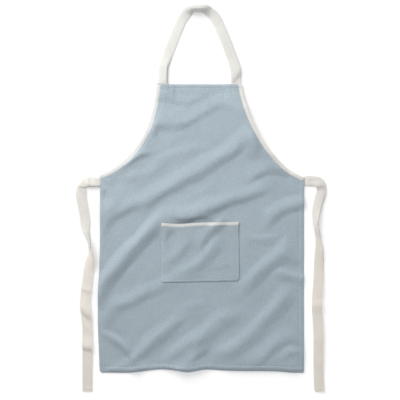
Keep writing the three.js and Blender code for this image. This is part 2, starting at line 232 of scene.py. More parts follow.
def sewSheet(piece, points, uv, thick, offset, look, edgeRound=0.4, flip=False, creamAndPaintedLight=None):
    mesh = piece.data
    mesh.vertices.foreach_set("co", toFrame(points).ravel())
    layer = mesh.uv_layers[0]
    layer.name = "weave"
    corners = np.empty(len(mesh.loops), int)
    mesh.loops.foreach_get("vertex_index", corners)
    layer.data.foreach_set("uv", (uv[corners] * mm).ravel())
    mesh.update()
    most = float(np.max(thick))
    group = piece.vertex_groups.new(name="thick")
    if np.ptp(thick) > 0:
        for value in np.unique(np.round(thick / most, 2)):
            chosen = np.nonzero(np.round(thick / most, 2) == value)[0]
            group.add(chosen.tolist(), float(value), "REPLACE")
    else:
        group.add(list(range(len(points))), 1.0, "REPLACE")
    if flip:
        mesh.flip_normals()
    bpy.ops.object.modifier_add(type="SOLIDIFY")
    wall = piece.modifiers[-1]
    wall.thickness = most * mm
    wall.offset = offset
    wall.vertex_group = "thick"
    wall.thickness_vertex_group = 0.0
    wall.use_quality_normals = True
    bpy.ops.object.modifier_apply(modifier=wall.name)
    bpy.ops.object.modifier_add(type="BEVEL")
    edge = piece.modifiers[-1]
    edge.width = edgeRound * mm
    edge.segments = 2
    edge.limit_method = "ANGLE"
    edge.angle_limit = math.radians(55)
    bpy.ops.object.modifier_apply(modifier=edge.name)
    piece.vertex_groups.clear()
    bpy.ops.object.shade_smooth()
    mesh.materials.clear()
    mesh.materials.append(look)
    if creamAndPaintedLight is not None:
        tintMesh(mesh, creamAndPaintedLight)
    return piece


# The tapes take more cream below the level, and the neck strap some everywhere. Besides their cream tone,
# this is painted light that makes them lighter where the light on them is dimmer.
def tintMesh(mesh, creamAndPaintedLight):  # how cream, and so how light, a tape is above a level on the apron and below it, and the level
    above, below, level = creamAndPaintedLight
    fade = 50  # the change is spread over this height
    flat = np.empty(3 * len(mesh.vertices))
    mesh.vertices.foreach_get("co", flat)
    y = (flat.reshape(-1, 3)[:, 1] - toFrame(np.zeros((1, 3)))[0, 1]) / mm
    tint = mesh.attributes.new("creamAndPaintedLight", "FLOAT", "POINT")
    tint.data.foreach_set("value", above + (below - above) * ease((level - y) / fade + 0.5))


def ease(t):
    t = np.clip(t, 0, 1)
    return t * t * (3 - 2 * t)


def cloud(x, y, scale, seed):  # smooth noise from about -1 to 1
    return np.array([noise.noise(Vector((a, b, seed))) for a, b in zip(x / scale, y / scale)])


def places(breaks, steps):  # from break to break, with a number of steps in each stretch
    found = [np.array([breaks[0]])]
    for start, end, count in zip(breaks[:-1], breaks[1:], steps):
        found.append(start + (end - start) * np.arange(1, count + 1) / count)
    return np.concatenate(found).astype(float)


# Body panel
panel = dict(
    halfWidth=322, waist=614, bibTop=908, bibHalf=133, bibLean=-7.3, leanFrom=720,
    skirtHalf=323.8, skirtLean=-3.2, bulge=7, bulgeAt=180, bulgeReach=150,
    armholeLower=(216, 656.5), armholeUpper=(148.6, 774.3), armSkew=3.5, skewTop=700, skewFade=90,
    armLift=12, liftReach=110, liftLow=625, liftHigh=895, liftFade=70,
    hemDip=8, dipReach=280, hemRoll=0.8, rollReach=11.5, hemCorner=(11, 4), waveReach=110,
    cloth=1.2, hemCloth=2.4, sideHem=15, bottomHem=19, topHem=12, layerEdge=1.6, heldReach=40,
    hemFull=0.6, seamDip=0.5, seamWidth=1.4, pucker=0.6, puckerSize=9, thinEdge=0.9, thinReach=3.5,
    tabX=-109, tabRow=892, tabRise=3, tabFull=0.9, tabSideDip=1.1, tabLowDip=0.9,
    wander=8, wanderSize=75, slack=1.0, slackBase=0.9, slackSize=34, slackTurn=38,
    crumple=0.35, crumpleSize=17,
    calmEdge=2, calmFade=26, tape=1.6, binding=1.0, gap=0.6, endFade=22,
    columns=136, skirtRows=134, bibRows=62,
)
# crest from (x, y) to (toX, toY), bow, sway, height, reach on its left and on its right
# A separate program fitted these rows to the photograph's shading, apart from what is marked
panelFolds = [
    (-142, 886, 23, 896, -35, 2, 1.8, 31, 22),
    (-160, 790, 133, 826, 3, -27, 3.2, 34, 25),
    (-226, 506, 179, 776, -12, 6, 8.1, 46, 34),
    (-314, 404, -190, 568, 29, 19, 8, 62, 35),
    (130, 660, 227, 781, 16, -6, 9.3, 38, 36),
    (115, 598, 341, 624, 29, 3, 6.9, 46, 29),
    (-348, 184, -101, 518, 28, 8, 13, 33, 42),
    (-142, 477, 239, 591, -8, -1, 7.1, 38, 28),
    (177, 450, 388, 535, 28, 2, 7, 37, 30),
    (113, 232, 287, 443, -5, 11, 7.6, 34, 43),
    (242, 383, 313, 337, -9, 1, 4.7, 26, 19),
    (211, 280, 347, 302, 18, 13, 7.3, 15, 36),
    (-329, 216, -61, 285, -11, -11, 5.1, 31, 30),
    (-336, 128, -212, 3, 24, -4, 9.4, 14, 24),
    (-228, -40, -34, 189, 45, 7, 5, 29, 32),
    (-42, -40, 130, 199, 48, -5, 7.9, 37, 50),
    (10, 32, 293, 267, -25, -5, 8.4, 34, 43),
    (124, 29, 340, 79, 26, -22, 6.4, 39, 32),
    (238, 16, 324, 42, 32, -1, 4.3, 22, 28),
    (-144, 7, 14, 136, 0, 2, 10.4, 33, 38),
    (-139, 401, -74, 460, 17, -5, 6.5, 27, 29),
    (-203, 585, 35, 709, 39, 5, 2.5, 27, 29),
    (-143, 17, -8, 17, -15, -15, 13, 53, 29),
    (-337, 100, -260, 248, 2, -4, 6.9, 44, 42),
    (-299, 480, -239, 595, 16, 1, 5.8, 33, 34),
    (-39, 479, 139, 611, 0, 4, 4.2, 42, 44),
    (-115, 507, 51, 470, 0, -10, 6, 45, 10),
    (-205, -8, 55, 25, -23, 4, 10.6, 44, 31),
    (-92, 29, 31, 82, -7, 2, 3.9, 35, 24),
    (-288, 634, -142, 693, 10, -2, 6.6, 41, 18),
    (117, 430, 264, 421, -3, -3, 3.1, 18, 34),
    (-198, 49, -123, 64, 17, -4, 3.1, 43, 34),
    (-275, 786, -9, 787, 6, -4, 5.5, 53, 35),
    (-265, 604, -173, 643, -7, 2, 2.6, 25, 24),
    (-188, 750, -148, 804, -7, -3, 7, 30, 30),  # height and reach given
    (-238, 31, -93, 153, 1, 0, 2.1, 17, 36),
    (3, 434, 70, 490, -6, 2, 6.6, 21, 22),
    (-260, -19, -172, 28, -12, 0, 10.2, 34, 31),
    (-74, 289, 130, 350, 5, -1, 1.6, 39, 23),
    (-187, 72, -67, 169, -12, 1, 4.3, 33, 27),
    (-124, 453, 57, 622, 2, 6, 2.8, 32, 36),
    (-338, -34, -165, 84, -9, 2, 3.7, 21, 27),
    (-140, 178, 22, 224, -6, 0, 2.1, 24, 22),
    (20, 10, 350, 6, 0, 0, 9, 160, 70),  # given
]
# x, y and half sizes of the tape ends below the panel
tapeEnds = [(-122, 892, 20, 22), (107, 892, 20, 22), (-310, 595, 20, 22), (310, 598, 20, 22)]
# x, drop and reach of the waves of the hem
hemWaves = [(-240, 4, 50), (-135, -4, 40), (-48, 7, 30), (14, -2, 26), (120, 2, 60), (285, 2, 30)]


def foldHeight(folds, x, y):
    total = np.zeros(len(x))
    for fromX, fromY, toX, toY, bow, sway, height, wide, steep in folds:
        length = math.hypot(toX - fromX, toY - fromY)
        runX, runY = (toX - fromX) / length, (toY - fromY) / length
        along = (x - fromX) * runX + (y - fromY) * runY
        off = (y - fromY) * runX - (x - fromX) * runY
        part = np.clip(along / length, 0, 1)
        off = off - bow * 4 * part * (1 - part) - sway * np.sin(2 * math.pi * part)
        away = np.minimum(1, np.abs(off) / np.where(off > 0, wide, steep))
        taper = min(70, 0.45 * length)
        ends = ease(along / taper) * ease((length - along) / taper)
        total += height * ends * np.cos(away * math.pi / 2) ** 2
    return total


def bezier(t, points):
    a, b, c, d = (np.array(p, float)[None, :] for p in points)
    t = t[:, None]
    return a * (1 - t) ** 3 + 3 * b * t * (1 - t) ** 2 + 3 * c * t * t * (1 - t) + d * t ** 3


waistCorner = (panel["skirtHalf"], panel["waist"])
bibCorner = (panel["bibHalf"], panel["bibTop"])
armholeCurve = [waistCorner, panel["armholeLower"], panel["armholeUpper"], bibCorner]
armhole = bezier(np.linspace(0, 1, 240), armholeCurve)


def armSkew(row):  # the left armhole meets its side higher than the right one
    return panel["armSkew"] * ease((panel["skewTop"] - row) / panel["skewFade"])


def panelEdges(row):  # left and right edge of the panel at a row
    bulge = panel["bulge"] * np.exp(-(((row - panel["bulgeAt"]) / panel["bulgeReach"]) ** 2))
    skew = armSkew(row)
    leftReach, rightReach = (np.interp(row + s, armhole[:, 1], armhole[:, 0]) for s in (-skew, skew))
    upper = panel["bibTop"] - panel["leanFrom"]
    lean = panel["skirtLean"] + panel["bibLean"] * ease((row - panel["leanFrom"]) / upper)
    return lean - leftReach - bulge, lean + rightReach


def panelY(x, row):  # rows sag near the hem, whose corners are round
    share = (x / panel["halfWidth"]) ** 2
    y = row - panel["hemDip"] * share * np.maximum(0, 1 - row / panel["dipReach"])
    for atX, drop, reach in hemWaves:
        y = y - drop * np.exp(-(((x - atX) / reach) ** 2)) * ease(1 - row / panel["waveReach"])
    left, right = panelEdges(row)
    for inward, radius in zip((x - left, right - x), panel["hemCorner"]):
        near = np.clip(1 - inward / radius, 0, 1)
        y = y + radius * (1 - np.sqrt(1 - near ** 2)) * ease(1 - row / 50)
    tab = ease((panel["tabX"] - x) / 2 + 0.5)  # the corner turned over the strap
    return y + panel["tabRise"] * tab * ease((row - panel["tabRow"]) / 8)


def panelTop(x, row):  # height of the panel's upper face, and its thickness
    y = panelY(x, row)
    left, right = panelEdges(row)
    side = np.minimum(x - left, right - x)
    skirt = ease((panel["waist"] - row) / 60)
    fromTop = panel["bibTop"] - row
    hems = [
        (side, panel["sideHem"], skirt, row),
        (row, panel["bottomHem"], 1.0, x),
        (fromTop, panel["topHem"], 1.0, x),
    ]
    layer = np.zeros(len(x))
    held = np.zeros(len(x))
    relief = np.zeros(len(x))
    for inward, width, share, seam in hems:
        beyond = inward - width
        layer = np.maximum(layer, ease(-beyond / panel["layerEdge"] + 0.5) * share)
        held = np.maximum(held, ease(1 - beyond / panel["heldReach"]) * share)
        inside = np.clip(inward / width, 0, 1)
        relief += share * panel["hemFull"] * np.sin(math.pi * inside) * (inside < 1)
        relief -= share * panel["seamDip"] * np.exp(-((beyond / panel["seamWidth"]) ** 2))
        pucker = cloud(seam, inward * 0.5, panel["puckerSize"], 3.1)
        relief += share * panel["pucker"] * pucker * np.exp(-((beyond / panel["puckerSize"]) ** 2))
    besideTab = x - panel["tabX"]
    aboveTab = row - panel["tabRow"]
    relief += panel["tabFull"] * ease(0.5 - besideTab / 1.5) * ease(0.5 + aboveTab / 1.5)
    relief -= panel["tabSideDip"] * np.exp(-((besideTab / 1.2) ** 2)) * ease((aboveTab + 6) / 4)
    relief -= panel["tabLowDip"] * np.exp(-((aboveTab / 1.2) ** 2)) * ease(-besideTab / 3)
    height = panel["hemCloth"] - panel["cloth"]
    wanderX = panel["wander"] * cloud(x, y, panel["wanderSize"], 5.3)
    wanderY = panel["wander"] * cloud(x, y, panel["wanderSize"], 9.7)
    folds = foldHeight(panelFolds, x + wanderX, y + wanderY)
    turn = math.radians(panel["slackTurn"])
    along = x * math.cos(turn) + y * math.sin(turn)
    across = y * math.cos(turn) - x * math.sin(turn)
    folds += panel["slack"] * cloud(along * 0.4, across, panel["slackSize"], 1.7) + panel["slackBase"]
    folds += panel["crumple"] * cloud(x, y, panel["crumpleSize"], 2.9)
    bib = ease((row - panel["waist"] + 20) / 40)
    calm = 1 - bib * (1 - ease((side - panel["calmEdge"]) / panel["calmFade"]))
    calm = calm * (1 - panel["hemRoll"] * (1 - ease(row / panel["rollReach"])))
    raised = np.zeros(len(x))
    for endX, endY, halfX, halfY in tapeEnds:
        overX = ease(1 - (np.abs(x - endX) - halfX) / panel["endFade"])
        overY = ease(1 - (np.abs(y - endY) - halfY) / panel["endFade"])
        raised = np.maximum(raised, (panel["tape"] + panel["gap"]) * overX * overY)
    onBinding = ease((row - panel["waist"] + 40) / 40) * ease(1 - (side - 30) / 40)
    raised += (panel["binding"] + panel["gap"]) * onBinding
    lift = ease((row - panel["liftLow"]) / panel["liftFade"])
    lift = lift * ease((panel["liftHigh"] - row) / panel["liftFade"])
    raised += panel["armLift"] * lift * ease(1 - (right - x) / panel["liftReach"])
    edge = np.minimum(np.minimum(side, row), fromTop)
    thinner = panel["thinEdge"] * (1 - ease(edge / panel["thinReach"])) * (layer > 0.5)
    top = panel["cloth"] + height * held + folds * calm + raised + relief - thinner
    thick = panel["cloth"] + height * layer - thinner
    return np.maximum(top, thick), thick


def panelPoints(x, row):
    return np.stack([x, panelY(x, row), panelTop(x, row)[0]], axis=1)


def makePanel():
    edgeIn = np.array([0, 1, 2.2, 4, 7, 10.2, 12.8, 14.2, 15, 15.8, 17.4, 20])
    span = np.linspace(0, 1, panel["columns"] + 1)[1:-1]
    bottom = np.array([0, 1, 2.2, 4, 6.4, 9, 12, 15, 17.4, 18.6, 19.4, 20.6, 23, 27])
    top = panel["bibTop"] - np.array([24, 19.5, 16, 14.2, 13, 12, 11, 9.8, 7.4, 4.6, 2.4, 1.1, 0])
    corners = panel["waist"] - panel["armSkew"], panel["waist"] + panel["armSkew"]
    between = places([bottom[-1], *corners, top[0]], [panel["skirtRows"], 3, panel["bibRows"]])
    rows = np.concatenate([bottom, between[1:], top[1:]])
    columns = 2 * len(edgeIn) + len(span) - 1
    piece, column, line = layGrid("body_panel_cloth", columns, len(rows) - 1)
    row = rows[line]
    left, right = panelEdges(row)
    first, last = left + edgeIn[-1], right - edgeIn[-1]
    inner = np.clip(column - len(edgeIn) + 1, 0, panel["columns"])
    x = first + (last - first) * inner / panel["columns"]
    fromLeft = np.minimum(column, len(edgeIn) - 1)
    fromRight = np.minimum(columns - column, len(edgeIn) - 1)
    x = np.where(column < len(edgeIn), left + edgeIn[fromLeft], x)
    x = np.where(column > columns - len(edgeIn), right - edgeIn[fromRight], x)
    z, thick = panelTop(x, row)
    points = np.stack([x, panelY(x, row), z], axis=1)
    return sewSheet(piece, points, points[:, :2], thick, -1, clothLook)


bodyPanel = makePanel()
print("body panel:", len(bodyPanel.data.polygons), "faces")


# Pocket: a patch with turned edges on three sides and a mouth that stands open
pocket = dict(
    left=-132, right=113, bottom=280, top=469, corner=(7, 12), gape=8, above=0.3, least=0.2,
    mouthSag=4, sagAt=0.24, sagReach=0.18, slack=0.5, slackSize=30, weaveShift=(2.6, 1.9),
    turned=13, layerEdge=1.6, heldReach=25, thinEdge=0.8, thinReach=3.2,
    seam=5, seamDip=0.4, seamWidth=1.4, pucker=0.35, puckerSize=10, puckerReach=8,
    columns=66, rows=48,
)
# columns as above, all three rows fitted by the same program
pocketFolds = [
    (-12, 362, 106, 491, 30, 9, 13, 34, 29),
    (-124, 290, 69, 436, -26, -4, 6.7, 28, 37),
    (-134, 324, 33, 467, 11, -7, 4.2, 31, 29),
]


def pocketPlace(u, v):  # where the pocket's cloth lies, u from left to right and v from bottom to mouth
    width = pocket["right"] - pocket["left"]
    tall = pocket["top"] - pocket["bottom"]
    x = pocket["left"] + width * u
    y = pocket["bottom"] + tall * v
    for hand, radius in zip((-1, 1), pocket["corner"]):
        fromSide = x - pocket["left"] if hand < 0 else pocket["right"] - x
        nearX = np.clip((radius - fromSide) / radius, 0, 1)
        nearY = np.clip((radius - (y - pocket["bottom"])) / radius, 0, 1)
        long = np.maximum(np.hypot(nearX, nearY), 1e-9)
        pull = 1 - np.maximum(nearX, nearY) / long
        x = x - hand * radius * nearX * pull
        y = y + radius * nearY * pull
    sag = pocket["mouthSag"] * np.exp(-(((u - pocket["sagAt"]) / pocket["sagReach"]) ** 2))
    x = x + (1 - v) * (3 * u - 1.5 * (1 - u))  # the patch is sewn on a little askew
    y = y + (1 - v) * (5 * u - 1) + v * (2.5 * u - 1.5 - sag)
    return x, y


def pocketTop(u, v):
    x, y = pocketPlace(u, v)
    width = pocket["right"] - pocket["left"]
    tall = pocket["top"] - pocket["bottom"]
    inward = np.minimum(np.minimum(u, 1 - u) * width, v * tall)
    layer = ease((pocket["turned"] - inward) / pocket["layerEdge"] + 0.5)
    near = ease(1 - (inward - pocket["turned"]) / pocket["heldReach"])
    across = np.sin(math.pi * u)
    calm = ease(3 * v) * ease(2.5 * (1 - v) - 0.1) * ease(4 * across)
    slack = pocket["slack"] * cloud(x, y, pocket["slackSize"], 7.1) * ease(inward / pocket["slackSize"])
    folds = foldHeight(pocketFolds, x, y) * calm + slack
    gape = pocket["gape"] * across * v ** 1.6
    gape = gape + (panel["binding"] + panel["gap"]) * ease((v - 0.75) / 0.2)
    thick = panel["cloth"] + (panel["hemCloth"] - panel["cloth"]) * layer
    seam = inward - pocket["seam"]
    pucker = cloud(x + y, x - y, pocket["puckerSize"], 4.2)
    relief = pocket["pucker"] * pucker * np.exp(-((seam / pocket["puckerReach"]) ** 2))
    relief = relief - pocket["seamDip"] * np.exp(-((seam / pocket["seamWidth"]) ** 2))
    thinner = pocket["thinEdge"] * (1 - ease(inward / pocket["thinReach"]))
    under = panelTop(x, y)[0]
    layers = panel["hemCloth"] * near + panel["cloth"] * (1 - near)
    top = under + pocket["above"] + layers + gape + folds + relief - thinner
    return np.maximum(top, under + pocket["least"] + thick - thinner), thick - thinner


def pocketPoints(u, v):
    x, y = pocketPlace(u, v)
    return np.stack([x, y, pocketTop(u, v)[0]], axis=1)


def makePocket():
    width = pocket["right"] - pocket["left"]
    tall = pocket["top"] - pocket["bottom"]
    close = np.array([0, 1.1, 2.4, 3.8, 5, 6.2, 8.4, 10.8, 12.4, 13.6, 16])
    span = np.linspace(close[-1], width - close[-1], pocket["columns"] + 1)[1:-1]
    us = np.concatenate([close, span, width - close[::-1]]) / width
    vs = np.concatenate([close, np.linspace(close[-1], tall, pocket["rows"] + 1)[1:]]) / tall
    piece, column, row = layGrid("pocket_cloth", len(us) - 1, len(vs) - 1)
    u, v = us[column], vs[row]
    x, y = pocketPlace(u, v)
    z, thick = pocketTop(u, v)
    points = np.stack([x, y, z], axis=1)
    flat = np.stack([pocket["left"] + width * u, pocket["bottom"] + tall * v], axis=1)
    return sewSheet(piece, points, flat + pocket["weaveShift"], thick, -1, clothLook)


pocketPiece = makePocket()
print("pocket:", len(pocketPiece.data.polygons), "faces")


# Bindings: a strip folded round a cloth edge, its turned inner edges a little fuller
strip = dict(
    thick=0.95, turnedThick=1.35, gap=0.25, full=0.35,
    groove=0.3, grooveAt=-0.76, grooveWidth=0.09,
)


def bindEdge(name, stations, reach, atPlace):
    # stations: edge x, y and the outward way; atPlace: the cloth's upper face and thickness at x, y
    inner = (-1.0, -0.86, -0.74, -0.5, -0.22, -0.05)
    arc = np.radians(np.linspace(-65, 65, 5))
    rows = len(inner) * 2 + len(arc)
    piece, column, row = layGrid(name, rows - 1, len(stations) - 1)
    edgeX, edgeY, outX, outY = stations[row].T
    points = np.empty((len(row), 3))
    girth = np.zeros(len(row))
    for k in range(rows):
        chosen = column == k
        ex, ey, ox, oy = edgeX[chosen], edgeY[chosen], outX[chosen], outY[chosen]
        if k < len(inner):  # below the cloth
            part = inner[k]
            sx, sy = ex + ox * reach * part, ey + oy * reach * part
            top, thick = atPlace(sx, sy)
            z = top - thick - strip["gap"]
        elif k >= rows - len(inner):  # on it
            part = inner[rows - 1 - k]
            sx, sy = ex + ox * reach * part, ey + oy * reach * part
            top, thick = atPlace(sx, sy)
            off = (part - strip["grooveAt"]) / strip["grooveWidth"]
            z = top + strip["gap"] + strip["full"] * math.sin(math.pi * -part)
            z = z - strip["groove"] * math.exp(-(off ** 2))
        else:  # round its edge
            angle = arc[k - len(inner)]
            top, thick = atPlace(ex - ox * 0.4, ey - oy * 0.4)
            radius = thick / 2 + strip["gap"]
            sx, sy = ex + ox * radius * math.cos(angle), ey + oy * radius * math.cos(angle)
            z = top - thick / 2 + radius * math.sin(angle)
        points[chosen] = np.stack([sx, sy, z], axis=1)
        girth[chosen] = k * (2 * reach + 3) / (rows - 1)
    step = np.hypot(*np.diff(stations[:, :2], axis=0).T)
    length = np.concatenate([[0], np.cumsum(step)])
    uv = np.stack([girth, length[row]], axis=1)
    turned = (column == 0) | (column == rows - 1)
    thick = np.where(turned, strip["thick"] * strip["turnedThick"], strip["thick"])
    chosen = np.nonzero(column == rows - 3)[0]
    seam = points[chosen[np.argsort(row[chosen])]] + np.array((0, 0, strip["thick"]))
    return piece, points, uv, thick, seam


armBinding = dict(reach=10.3, step=3.2, warmLeft=0, warmRight=0.4)


def armholeStations(hand):
    step = np.hypot(*np.diff(armhole, axis=0).T)
    length = np.concatenate([[0], np.cumsum(step)])
    at = np.linspace(0, length[-1], int(length[-1] / armBinding["step"]))
    y = np.interp(at, length, armhole[:, 1])
    y = y - hand * armSkew(y - hand * panel["armSkew"])
    left, right = panelEdges(y)
    x = right if hand > 0 else left
    runX, runY = np.gradient(x), np.gradient(y)
    long = np.hypot(runX, runY)
    return np.stack([x, y, hand * runY / long, -hand * runX / long], axis=1)


def makeArmBinding(name, hand):
    stations = armholeStations(hand)
    piece, points, uv, thick, seam = bindEdge(name, stations, armBinding["reach"], panelTop)
    tone = armBinding["warmRight"] if hand > 0 else armBinding["warmLeft"]
    sewSheet(piece, points, uv, thick, 1, tapeLook, edgeRound=0.3, flip=hand < 0, creamAndPaintedLight=(tone, tone, 0))
    return piece, seam


bindingLeft, leftSeam = makeArmBinding("binding_left_strip", -1)
bindingRight, rightSeam = makeArmBinding("binding_right_strip", 1)

mouthBinding = dict(reach=9.5, stations=84, creamAndPaintedLight=(0, 0, 0))


def makeMouthBinding():
    u = np.linspace(0, 1, mouthBinding["stations"])
    x, y = pocketPlace(u, np.ones(len(u)))
    runX, runY = np.gradient(x), np.gradient(y)
    long = np.hypot(runX, runY)
    stations = np.stack([x, y, -runY / long, runX / long], axis=1)
    tall = pocket["top"] - pocket["bottom"]

    def pocketAt(px, py):
        near = np.interp(px, x, u)
        level = np.interp(px, x, y)
        return pocketTop(near, np.clip(1 - (level - py) / tall, 0, 1))

    reach = mouthBinding["reach"]
    piece, points, uv, thick, seam = bindEdge("pocket_binding_strip", stations, reach, pocketAt)
    sewSheet(piece, points, uv, thick, 1, tapeLook, edgeRound=0.3, flip=True, creamAndPaintedLight=mouthBinding["creamAndPaintedLight"])
    return piece, seam


mouthPiece, mouthSeam = makeMouthBinding()
print("bindings made")


# Tapes: neck strap and ties along a table of their middle line
tape = dict(
    width=32, thick=1.6, thinEdge=0.3, cup=0.5, bend=0.4, across=20, step=2.6, turn=13,
    endHem=12, hemThick=0.8, sewnHem=28, freeFade=14,
)


def turnRows(x, y, start, end, lift, roll, curl, crease):  # a turn in the tape's plane round (x, y)
    angles = np.radians(np.linspace(start, end, 4))
    reach = tape["turn"]
    spots = [(x + reach * math.cos(a), y + reach * math.sin(a)) for a in angles]
    return [(*spot, lift, roll, curl, crease) for spot in spots]


# x and y of the middle, lift, tilt right of the crease, how much less it is left of the crease,
# and where the crease lies across the tape, from -1 to 1
neckRows = [
    (-123, 878, 0, 0, 0, 0), (-124, 892, 0, 0, 0, -0.75), (-124.5, 900, 0, 8, 8, -0.75),
    (-126, 912, 0, 50, 50, -0.75), (-126, 926, 0, 65, 65, -0.75), (-125.5, 947, 0, 65, 65, -0.75),
    (-123.5, 967, 1, 50, 52, -0.75), (-117, 987, 0.5, 18, 20, -0.75), (-109, 1010, 0, 0, 0, -0.75),
    (-93, 1051, 0, 0, 0, -0.5), (-76, 1093, 0, 0, 0, 0.1), (-67, 1113, 0, 1, 0, 0.1),
    (-60, 1123, 0, 5, 2, 0.1), (-53, 1131.5, 0, 12, 8, 0.1), (-47, 1138, 0, 28, 22, 0.1),
    (-41, 1141.8, 0, 48, 40, 0.1), (-34, 1145.2, 0, 67, 59, 0.1), (-23, 1146.3, 0, 74, 66, 0.1),
    (-13, 1146.5, 0, 74, 66, 0.1), (-3, 1146.2, 0, 73, 65, 0.1), (5, 1144.6, 0, 62, 54, 0.1),
    (11, 1142.3, 0, 46, 38, 0.1), (17, 1138.8, 0, 31, 25, 0.1), (23.5, 1134.8, 0, 22, 17, 0.1),
    (30, 1129, 0, 15, 10, 0.1), (36.5, 1121.5, 0.5, 9, 5, 0.1), (42.6, 1112.5, 1, 4, 2, 0.1),
    (52.2, 1093, 1, -1, 0, 0.1), (70.8, 1051, 1, -5, 0, 0), (86, 1010, 1, -5, 0, 0),
    (93.5, 989, 1.5, -4, 0, 0), (100, 968, 2, -2, 0, 0), (104, 947, 2, 0, 0, 0),
    (105.5, 926, 1, 0, 0, 0), (106, 903, 0, 0, 0, 0), (106, 878, 0, 0, 0, 0),
]
neckFolds = [(73, 897, 137, 983, 0, 0, 4.5, 60, 18)]
leftTieRows = [
    (-367, -67, 0, 180, 0, -0.3), (-367, -20, 1, 180, 0, -0.3), (-366.5, 40, 3, 180, 0, -0.3),
    (-366.5, 110, 4, 180, 0, -0.3), (-367.5, 151, 4, 180, 0, -0.3), (-372, 190, 4, 180, 0, -0.3),
    (-373.5, 215, 4, 180, 0, -0.3), (-371, 250, 4, 180, 0, -0.3), (-366.5, 285, 3, 180, 0, -0.3),
    (-362.3, 320, 1.5, 176, 2, -0.3), (-359, 343, 0, 160, 5, -0.3), (-356.3, 360, 0, 142, 4, -0.3),
    (-355, 376, 0, 118, -6, -0.3), (-356, 390, 0, 98, -32, -0.3), (-357.7, 398, 0, 72, -43, -0.3),
    (-359.6, 406.5, 0, 62, -56, -0.3), (-364, 423, 0, 40, -90, -0.2),
    (-367.6, 437, 0, 22, -118, 0.05), (-370.8, 450, 0, 8, -142, 0.36), (-373, 464, 0, 2, -150, 0.8),
    (-374.3, 477, 0, 0, -150, 1.1), (-376, 492, 0, 0, 0, 1.1), (-380.3, 516, 1, 0, 0, 0.4),
    (-385, 540, 2, 0, 0, 0.2), (-388, 561, 2.5, 0, 6, 0.1),
    *turnRows(-373, 584, 170, 142, 0, 6, 44, 0.1), *turnRows(-372, 583, 128, 98, 0.5, 4, 14, 0.2),
    (-358, 597, 1, 60, 64, -0.85), (-342, 597, 1, 70, 70, -0.85), (-330, 596.5, 0.4, 60, 60, -0.85),
    (-320, 596, 0, 0, 0, -0.85), (-298, 595, 0, 0, 0, 0),
]
leftTieFolds = [
    (-419, 231, -328, 149, 0, 0, 7.5, 40, 19),
    (-430, 91, -305, 61, 0, 0, 6.5, 36, 18.5),
    (-410, 178, -331, 99, 0, 0, 1.4, 14, 9),
    (-425, 270, -306, 236, 0, 0, 1.8, 22, 9),
    (-408, 583, -335, 582, 0, 0, 3, 24, 3.5),
]
rightTieRows = [
    (370, -68, 0, -4, 0, -1.4), (367.5, -21, 1, -4, 0, -1.4), (366.5, 37, 3, -4, 0, -1.4),
    (366.5, 100, 4, -4, 0, -1.4), (365, 150, 4, -4, 0, -1.4), (361.7, 190, 4, -4, 0, -1.4),
    (361.7, 225, 4, -4, 0, -1.4), (365, 262, 4, -4, 0, -1.4), (367.4, 300, 3, 0, 0, -1.4),
    (368.2, 320, 2, 10, 10, -1), (368.5, 345, 0.5, 40, 40, -0.95), (368.5, 366, 0, 85, 84, -0.92),
    (368.2, 382, 0, 130, 128, -0.85), (367.4, 396, 0, 160, 155, -0.68),
    (366.4, 410, 0, 168, 163, -0.45), (365, 423, 0, 168, 163, -0.25),
    (363, 436, 0, 160, 156, -0.05), (360.2, 450, 0, 156, 158, -0.12),
    (358.2, 463, 0, 146, 164, -0.3), (357.8, 474, 0, 122, 150, -0.45),
    (358.2, 487, 0, 88, 118, -0.6), (360, 501, 0, 70, 92, -0.72), (363.4, 519, 0, 66, 80, -0.85),
    (367.3, 535, 0, 48, 60, -0.9), (371.2, 548, 0, 13, 25, -0.7), (375, 559, 0, 9, 19, -0.55),
    (377.4, 568, 0, 9, 17, -0.4), (377.6, 577, 0, 13, 19, -0.2), (375.6, 586, 0, 17, 22, 0),
    (370.8, 593.8, 0, 16, 20, 0.1), (364, 598.6, 0.5, 11, 12, 0.15), (356, 600.7, 0.8, 6, 14, 0.42),
    (347, 601, 1, 4, 45, 0.6), (337, 600.6, 0.8, 0, 60, 0.65), (328, 600, 0.3, 0, 40, 0.65),
    (320, 599.4, 0, 0, 0, 0.65), (298, 598, 0, 0, 0, 0),
]
rightTieFolds = [
    (300, 213, 425, 200, 0, 0, 4, 26, 30),
    (325, 92, 408, 108, 0, 0, 1.2, 25, 20),
    (325, 36, 408, 22, 0, 0, 1.2, 22, 24),
    (330, 606, 384, 614, 0, 0, 1.4, 7, 6),
    (330, 587, 402, 583, 0, 0, 1.7, 26, 4),
]


def spline(table, at):  # a smooth line through the rows of a table, by the way gone along it
    knots = np.concatenate([[0], np.cumsum(np.hypot(*np.diff(table[:, :2], axis=0).T))])
    slope = np.gradient(table, knots, axis=0)
    k = np.clip(np.searchsorted(knots, at, side="right") - 1, 0, len(knots) - 2)
    gap = (knots[k + 1] - knots[k])[:, None]
    w = (at - knots[k])[:, None] / gap
    rest = 1 - w
    start = table[k] * (1 + 2 * w) * rest ** 2 + slope[k] * gap * w * rest ** 2
    return start + table[k + 1] * (3 - 2 * w) * w ** 2 - slope[k + 1] * gap * rest * w ** 2


